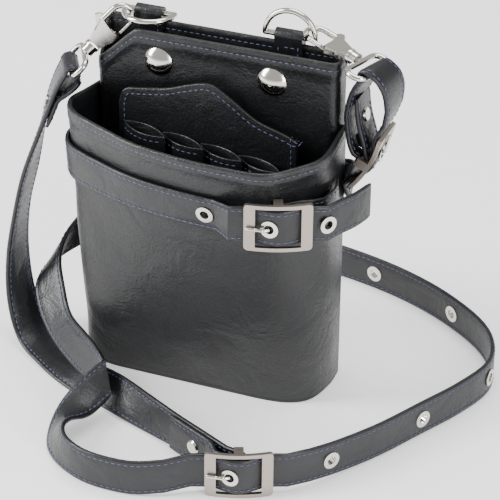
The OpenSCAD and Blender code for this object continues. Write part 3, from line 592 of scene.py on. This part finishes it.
sleeve_rows = []
for number in range(4):
    top = SLEEVE_TOP - SLEEVE_FALL * number
    centre_x = SLEEVE_X + SLEEVE_STEP * number
    profile = [(SLEEVE_FOOT, 0.7), (SLEEVE_FOOT + 0.3, 0.25), (SLEEVE_FOOT + 1, 0)]
    profile += [(z, 0) for z in range(46, 132, 6)]
    profile += [(top - 0.5, 0), (top - 0.12, 0.15), (top, 0.4), (top - 0.12, 0.65),
                (top - 0.5, SLEEVE_WALL), (top - 12, SLEEVE_WALL),
                (top - 60, SLEEVE_WALL), (SLEEVE_FOOT + 1.2, SLEEVE_WALL + 0.05)]
    profile = [q for i, q in enumerate(profile)
               if not (3 <= i and q[1] == 0 and q[0] > top - 0.5)]
    rings = []
    for k in range(SLEEVE_SIDES):
        ring = []
        for z, shrink in profile:
            x, y = lens_point(k / SLEEVE_SIDES, shrink)
            ripple = noise.noise(Vector((k / 9, z / 20, number * 5.5))) * 0.25
            y += (ripple * ease(41, 60, z) * (1 - abs(x) / (SLEEVE_W / 2)) if y < 0 else 0)
            cx, cy = turned(x, y)
            ring.append((cx + centre_x, cy + sleeve_y, z))
        rings.append(ring)
    sleeve = loft(f"insert_sleeve_{number + 1}_tube", rings, leather, "insert",
                  round_trip=True)
    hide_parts(f"insert_sleeve_{number + 1}")
    row = []
    for k in range(SLEEVE_SIDES // 2 + 2, SLEEVE_SIDES - 1):
        x, y = lens_point(k / SLEEVE_SIDES, 0)
        nx, ny = lens_point(k / SLEEVE_SIDES, -1)
        cx, cy = turned(x, y)
        out = Vector((*turned(nx - x, ny - y), 0))
        row.append((Vector((cx + centre_x, cy + sleeve_y, top - SLEEVE_SEAM)),
                    out.normalized()))
    sleeve_rows.append(row)
sew("insert_sleeve_stitches", sleeve_rows, "insert")

# %% [markdown]
# ## Base, and the tabs that hold the D-rings
# These keep the CAD model's form. A copy is softened: leather cut from sheet has edges
# that are painted and rubbed round, never sharp.

# %% Softened copies
def soften(node_name, roll, material, body):
    source = nodes[node_name]
    piece = bpy.data.objects.new(node_name + "_soft", source.data.copy())
    piece.data.transform(source.matrix_world)
    bpy.context.scene.collection.objects.link(piece)
    work = bmesh.new()
    work.from_mesh(piece.data)
    bmesh.ops.remove_doubles(work, verts=work.verts, dist=0.002 * MM)
    bmesh.ops.dissolve_limit(work, angle_limit=math.radians(2), verts=work.verts,
                             edges=work.edges)
    edges = [e for e in work.edges if len(e.link_faces) == 2
             and e.calc_face_angle() > math.radians(35)]
    bmesh.ops.bevel(work, geom=edges, offset=roll * MM, segments=3, profile=0.5,
                    affect="EDGES", clamp_overlap=True)
    work.to_mesh(piece.data)
    work.free()
    finish_piece(piece, material, body, sharp=40)
    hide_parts(node_name)


soften("base_panel", 0.7, leather, "holster")
for name in ("tab_left", "tab_right"):
    soften(name, 0.45, strap_leather, "holster")

# %% Stitches on the tabs' legs
TAB_X, TAB_W, PANEL_Y, TAB_T, TAB_SEAM = (-42, 34.5), 15, 23, 1.8, 2.2
TAB_SEW_LOW, TAB_SEW_HIGH = 179.4, 185
rows = []
for x in TAB_X:
    for out in (1, -1):
        y = PANEL_Y + out * (WALL / 2 + 0.05 + TAB_T)
        box = [(-1, TAB_SEW_HIGH), (-1, TAB_SEW_LOW), (1, TAB_SEW_LOW),
               (1, TAB_SEW_HIGH), (-1, TAB_SEW_HIGH)]
        path = []
        for (ax, az), (bx, bz) in zip(box, box[1:]):
            for k in range(8):
                t = k / 8
                path.append((Vector((x + (ax + (bx - ax) * t) * (TAB_W / 2 - TAB_SEAM),
                                     y, az + (bz - az) * t)), Vector((0, out, 0))))
        rows.append(path)
sew("tab_stitches", rows, "holster")

# %% [markdown]
# ## Belt and straps
# Each is one strip of leather about 20 mm wide. Its middle line runs through the same
# places as the CAD model's. A real strip is cut, its edges are turned and painted, and a
# row of stitches is sunk in a shallow groove along each edge, so its slice is a flat oval
# with two grooves on each face.

# %% Slice of a strap
STRAP_W, STRAP_T, BELT_T, CHAPE_T = 20, 2.6, 2.4, 1.6
SEAM_IN, HAIR, TOOL_DEPTH = 2.3, 0.1, 14
SEAM = STRAP_W / 2 - SEAM_IN


def slice_of(thick, width):
    h, w = thick / 2 - HAIR, width / 2
    seam = w - SEAM_IN
    top = [(-w + 0.12, h * 0.45), (-w + 0.45, h * 0.82), (-w + 1.0, h * 0.98),
           (-seam - 0.55, h), (-seam, h - 0.16), (-seam + 0.55, h), (-w * 0.4, h + 0.05),
           (0, h + 0.07)]
    top += [(-x, y) for x, y in reversed(top[:-1])]
    return [(-w, 0)] + top + [(w, 0)] + [(x, -y) for x, y in reversed(top)]


def strap(name, stations, thick, replaced, holes=(), slots=(), stitch_ends=(3, 3)):
    ring_shape = slice_of(thick, STRAP_W)
    rings = []
    for i, s in enumerate(stations):
        c, w, out = middle(s), across(s), facing(stations, i)
        end = min(i, len(stations) - 1 - i)
        slim = {0: 0.62, 1: 0.95}.get(end, 1.0)
        rings.append([c + w * x * (1 if end else 0.97) + out * y * slim
                      for x, y in ring_shape])
    piece = loft(name, rings, strap_leather, "holster")
    for place, normal, r in holes:
        turn = normal.to_track_quat("Z", "Y").to_euler()
        bpy.ops.mesh.primitive_cylinder_add(vertices=24, radius=r * MM,
                                            depth=TOOL_DEPTH * MM,
                                            location=place * MM, rotation=turn)
        cut(piece, bpy.context.object)
    for centre, axes, size in slots:
        bpy.ops.mesh.primitive_cube_add(size=1)
        block = bpy.context.object
        turned = Matrix((axes[0], axes[1], axes[2])).transposed().to_4x4()
        block.data.transform(Matrix.Translation(centre * MM) @ turned
                             @ Matrix.Diagonal((size[0] * MM, size[1] * MM,
                                                size[2] * MM, 1)))
        cut(piece, block)
    finish_piece(piece, strap_leather, "holster")
    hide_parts(replaced)
    rows = []
    for side in (-1, 1):
        for face in (-1, 1):
            row = []
            for i in range(stitch_ends[0], len(stations) - stitch_ends[1]):
                s, out = stations[i], facing(stations, i)
                row.append((middle(s) + across(s) * side * SEAM
                            + out * face * (thick / 2 - HAIR), out * face))
            rows.append(row)
    sew(name + "_stitches", rows, "holster")
    print(name, "has", len(piece.data.polygons), "faces")


def cut(piece, tool):
    change = piece.modifiers.new("cut", "BOOLEAN")
    change.operation, change.solver, change.object = "DIFFERENCE", "EXACT", tool
    bpy.ops.object.select_all(action="DESELECT")
    piece.select_set(True)
    bpy.context.view_layer.objects.active = piece
    bpy.ops.object.modifier_apply(modifier=change.name)
    bpy.data.objects.remove(tool)


# %% [markdown]
# ### How a strap lies in a buckle
# A strap passes under the frame's two flat ends and over the bar and the prong, so it
# rises in the middle. A folded end goes round the bar and back along its own strap.

# %% Places of the buckles and the paths through them
BAR_DROP, BAR_R, RUN, PRONG_R, BOW, BUCKLE_L, BUCKLE_T = 5.6, 1.2, 0.06, 0.9, 62, 34, 2
BUCKLE_YAW, BELT_BUCKLE_Z, EYELET_ROOM, UNDER_FRAME = 22, 122.5, 0.65, 0.4
RING_BAR_R = 1.5


def upright(centre, degrees):
    c, s = math.cos(math.radians(degrees)), math.sin(math.radians(degrees))
    return Vector(centre), Vector((c, s, 0)), Vector((0, 0, 1)), Vector((s, -c, 0))


belt_place = upright((56.9, -50.7, BELT_BUCKLE_Z), BUCKLE_YAW)
strap_place = upright((59.5, -108, 12.9), BUCKLE_YAW)
LEAN = math.radians(62)
loop_place = (Vector((84.8, 15.5, 134)), Vector((-math.cos(LEAN), 0, -math.sin(LEAN))),
              Vector((0, 1, 0)), Vector((math.sin(LEAN), 0, -math.cos(LEAN))))


def at_place(f, x, z):
    return f[0] + f[1] * x + f[3] * z


def lie(x, t, folded):
    high = -BAR_DROP + BAR_R + RUN + max(folded, 2 * PRONG_R) + EYELET_ROOM + t / 2
    low = -(BUCKLE_L / 2) ** 2 / (2 * BOW) - BUCKLE_T - UNDER_FRAME - t / 2
    u = min(abs(x) / 16, 1)
    return high + (low - high) * (1 - math.cos(math.pi * u)) / 2


def through(f, t, folded, up, last):
    xs = [-24, -18, -13, -8, -4, 0, 4, 8, 13, 18, 24][:last + 1]
    return [[*at_place(f, x, lie(x, t, folded)), *(f[2] * up)] for x in xs]


def round_bar(f, t, start, end):
    r = (BAR_R + RUN) / math.cos(math.radians((end - start) / 10)) + t / 2
    out = []
    for i in range(6):
        q = math.radians(start + (end - start) * i / 5)
        out.append([*at_place(f, r * math.cos(q), -BAR_DROP + r * math.sin(q)), *f[2]])
    return out


def beside(stations, indices, d):
    return [[*(middle(stations[i]) + facing(stations, i) * d), *across(stations[i])]
            for i in indices]


def ring_wrap(side, degrees):
    """A station round the straight bar of a strap ring, which is the ring's hinge."""
    hinge, swivel = joints[f"ring_{side}_hinge"], joints[f"hook_{side}_swivel"]
    bar, post = Vector(hinge["axis"]), Vector(swivel["axis"])
    r = (RING_BAR_R + RUN) / math.cos(math.radians(16)) + STRAP_T / 2 + 0.5
    a = math.radians(degrees)
    p = (Vector(hinge["pos_m"]) / MM + bar.cross(post) * (r * math.cos(a))
         + post * (r * math.sin(a)))
    return [*p, *bar]


def left_wrap(degrees):
    return ring_wrap("left", degrees)


def right_wrap(degrees):
    return ring_wrap("right", degrees)

# %% [markdown]
# ### Pouch belt
# It starts at the left side, follows the front pocket's wall and is held there by one
# rivet. It then runs through its buckle, and its pointed end tucks round the right side.
# The buckle hangs on a short piece of its own, folded round the bar.

# %% Belt
BELT_Z = 121


def belt_stations():
    half = STRAP_W / 2
    mid, low, high = (pocket_line(BELT_Z, 5), pocket_line(BELT_Z - half, 5),
                      pocket_line(BELT_Z + half, 5))
    run = []
    for i in range(1, 34):
        p = Vector(mid[i]) + side_of(mid, i) * (0.6 + BELT_T / 2)
        run.append([p.x, p.y, BELT_Z, high[i][0] - low[i][0], high[i][1] - low[i][1],
                    STRAP_W])
    run += through(belt_place, BELT_T, CHAPE_T, 1, 10)
    return run + smooth([[80, -27, 122, 0, 0, 1], [85, -17, 122, 0, 0, 1],
                         [88.5, -5, 122, 0, 0, 1]], 3)


def holes_at(stations, indices, r):
    return [(middle(stations[i]), facing(stations, i), r) for i in indices]


EYELET_CUT, RIVET_CUT = 2.95, 1.4
belt_run = belt_stations()
strap("pouch_belt_strip", belt_run, BELT_T, "pouch_belt",
      holes_at(belt_run, (31, 37, 43), EYELET_CUT) + holes_at(belt_run, (6,), RIVET_CUT))


def prong_slot(f, centre_z=-BAR_DROP, height=TOOL_DEPTH):
    return (at_place(f, 0, centre_z), (f[1], f[2], f[3]),
            (TOOL_DEPTH, 2 * PRONG_R + 2, height))


chape_run = [[*at_place(belt_place, x, z), 0, 0, 1]
             for x, z in ((17, -9.9), (12, -9.4), (7, -7.8))]
chape_run += round_bar(belt_place, CHAPE_T, 60, 290)
chape_run += smooth([[*at_place(belt_place, x, z), 0, 0, 1]
                     for x, z in ((6, -9.6), (12, -11.6), (17, -12.3))], 2)
chape_run += smooth([[71.8, -26, BELT_Z, 0, 0, 1], [73.4, -15, BELT_Z, 0, 0, 1],
                     [71.6, -5, BELT_Z, 0, 0, 1]], 3)
strap("belt_chape_strip", chape_run, CHAPE_T, "belt_chape", (),
      [prong_slot(belt_place)], (12, 2))

# %% [markdown]
# ### Left length of the long strap
# It is folded over the left hook's ring and riveted, drops to the ground, and comes
# forward to the strap buckle, where its end is folded round the bar and riveted too.

# %% Left strap
LAP = STRAP_T + 0.1
left_down = smooth([left_wrap(225), [-86, 0, 152, -0.45, 0.89, 0],
                    [-90, -1.5, 140, -0.4, 0.91, 0], [-94.5, -3, 124, -0.25, 0.97, 0],
                    [-101, -4, 100, 0, 1, 0], [-107, -5, 74, 0, 1, 0],
                    [-110, -6, 48, 0.15, 1, 0], [-106.5, -11, 24, 0.35, 0.9, 0.05],
                    [-95.5, -20, 7, 0.5, 0.85, 0.1], [-78, -32, 3.6, 0.5, 0.8, 0.15],
                    [-56, -46, 5.6, 0.3, 0.75, 0.5], [-33, -57, 8.6, 0.2, 0.68, 0.7],
                    [-10, -69, 10.2, 0.1, 0.35, 0.93], [14, -81, 11.5, 0, 0.1, 1],
                    [34, -91, 12.6, 0, 0, 1], [49, -98.6, 12.9, 0, 0, 1]], 5)
LAST = len(left_down) - 1
left_run = beside(left_down, range(13, 7, -1), LAP)
left_run += smooth([[*(middle(left_down[7]) + facing(left_down, 7) * (LAP + 0.9)),
                     -0.43, 0.9, 0], [-79, 3, 151, -0.45, 0.89, 0],
                    [-75.4, 4, 156, -0.5, 0.87, 0], left_wrap(-15)], 3)
left_run += [left_wrap(a) for a in range(15, 196, 30)] + left_down
left_run += round_bar(strap_place, STRAP_T, -60, 120)
left_run += smooth([[*at_place(strap_place, x, z), 0, 0, 1]
                    for x, z in ((-6, -5.4), (-11.5, -8.6))], 2)
left_run += beside(left_down, range(LAST - 3, LAST - 11, -1), LAP)
left_holes = holes_at(left_down, (10, LAST - 6), RIVET_CUT)
strap("strap_left_strip", left_run, STRAP_T, "strap_left", left_holes,
      [prong_slot(strap_place)], (1, 1))

# %% [markdown]
# ### Right length of the long strap
# It starts at the loop buckle's bar, goes up over the right hook's ring, back down
# through the loop buckle, behind the pouch, round to the front, through the strap buckle,
# and away in a wide curve that ends behind.

# %% Right strap
loop_end = smooth([[75.8, 16, 170, 0, 1, 0], [77, 16, 158, 0, 1, 0],
                   [80.4, 15.8, 146, 0, 1, 0]], 3)
loop_leg = smooth([[75, 15.6, 139.6, 0, 1, 0], [72.8, 15.8, 145, 0, 1, 0],
                   [71.6, 16, 152, 0, 1, 0], [72, 15, 162, 0.1, 1, 0],
                   [76.2, 12.8, 174.4, 0.25, 1, 0], right_wrap(140)], 3)
loop_top = [right_wrap(a) for a in (110, 80, 50, 20)] + smooth(
    [right_wrap(-8), [90.9, 9.8, 184.4, 0.3, 1, 0], [93.4, 12, 176.4, 0.2, 1, 0],
     [93.2, 14, 167, 0.1, 1, 0]], 3)
to_floor = smooth([[70.6, 20.5, 115.5, -0.1, 0.8, 0.6], [66, 27.8, 113, -0.1, 0.25, 0.97],
                   [54, 30.5, 110, -0.25, 0, 0.96], [20, 30, 99, -0.35, 0, 0.94],
                   [-20, 30, 84, -0.35, 0, 0.94], [-52, 29.5, 70, -0.3, 0, 0.95],
                   [-77, 23, 58, -0.1, 0, 1], [-90, 11, 48, 0.3, 0.1, 0.9],
                   [-92.5, -3, 39.5, 0.6, 0.2, 0.75], [-86.5, -14.5, 30, 0.8, 0.1, 0.6],
                   [-76, -26, 21, 0.65, 0.05, 0.75], [-58, -41, 18.5, 0.3, 0.3, 0.9],
                   [-41, -54, 18.5, -0.2, 0.5, 0.8], [-33, -60, 18, -0.43, 0.6, 0.67]], 5)
to_buckle = smooth([[-34.5, -63.4, 17, -0.5, 0.52, 0.68], [-39, -73, 13, -0.68, 0.5, 0.4],
                    [-43, -84, 9.8, -0.7, 0.35, -0.1], [-44, -96, 8.9, -0.6, 0.15, -0.6],
                    [-40, -108, 9.6, -0.4, 0, -0.85], [-30, -118.5, 10.2, -0.15, 0, -1],
                    [-14, -125, 10.1, 0, 0, -1], [8, -125.2, 10.3, 0, 0, -1],
                    [24, -119.6, 11.6, 0, 0, -1]], 4)
to_tail = smooth([[*p, 0, 0, -1] for p in
                  ((88, -84, 12), (98, -70, 10.8), (112, -48, 10.1), (126, -22, 10.1),
                   (139, 3, 10.1), (147, 27, 10.1), (143, 48, 10.1), (130, 66, 10.1),
                   (106, 84, 10.1), (80, 97, 10.1), (52, 106, 10.1), (20, 112, 10.1),
                   (-14, 114, 10.1))], 4)
right_run = loop_end + round_bar(loop_place, STRAP_T, 125, -95) + loop_leg + loop_top
LOOP = len(right_run)
right_run += through(loop_place, STRAP_T, STRAP_T, 1, 9) + to_floor + to_buckle
right_run += through(strap_place, STRAP_T, STRAP_T, -1, 10)
TAIL = len(right_run)
right_run += to_tail
right_holes = holes_at(right_run, (LOOP + 4, TAIL - 7, TAIL + 3, TAIL + 12, TAIL + 20,
                                   TAIL + 31, TAIL + 39), EYELET_CUT)
strap("strap_right_strip", right_run, STRAP_T, "strap_right",
      right_holes + holes_at(loop_end, (3,), RIVET_CUT),
      [prong_slot(loop_place, -BAR_DROP - 3.2, 13.4)], (2, 2))

# %% [markdown]
# ## Ground and light
# White ground, a strong soft box at the upper left, weaker ones on the right and above, and
# a bright sky give the soft shadow under the pouch and long soft highlights on its folds.

# %% Ground
bpy.ops.mesh.primitive_plane_add(size=60, location=(0, 0, -0.00002))
ground = bpy.context.object
ground.name = "ground"
white, tree = new_material("white_ground")
finish_material(tree, add_node(tree, "ShaderNodeBsdfPrincipled",
                               {"Base Color": linear("#fbfbfb"), "Roughness": 0.9,
                                "Emission Color": (1, 1, 1, 1),
                                "Emission Strength": 0.45}))
ground.data.materials.append(white)

# %% Lights
def soft_box(name, place, size, power):
    bpy.ops.object.light_add(type="AREA", location=place)
    box = bpy.context.object
    box.name = name
    box.data.shape, box.data.size, box.data.size_y = "RECTANGLE", size[0], size[1]
    box.data.energy = power
    aim = Vector((0, 0, 0.08)) - Vector(place)
    box.rotation_euler = aim.to_track_quat("-Z", "Y").to_euler()


soft_box("upper_left_softbox", (-1.3, -0.7, 0.9), (0.5, 1.2), 40)
soft_box("right_softbox", (1.4, -0.9, 0.6), (0.4, 1.2), 18)
soft_box("top_softbox", (0.1, 0.3, 1.7), (1.2, 0.8), 22)
world = bpy.data.worlds.new("bright_studio")
world.use_nodes = True
world.node_tree.nodes["Background"].inputs["Color"].default_value = (1, 1, 1, 1)
world.node_tree.nodes["Background"].inputs["Strength"].default_value = 0.6
bpy.context.scene.world = world
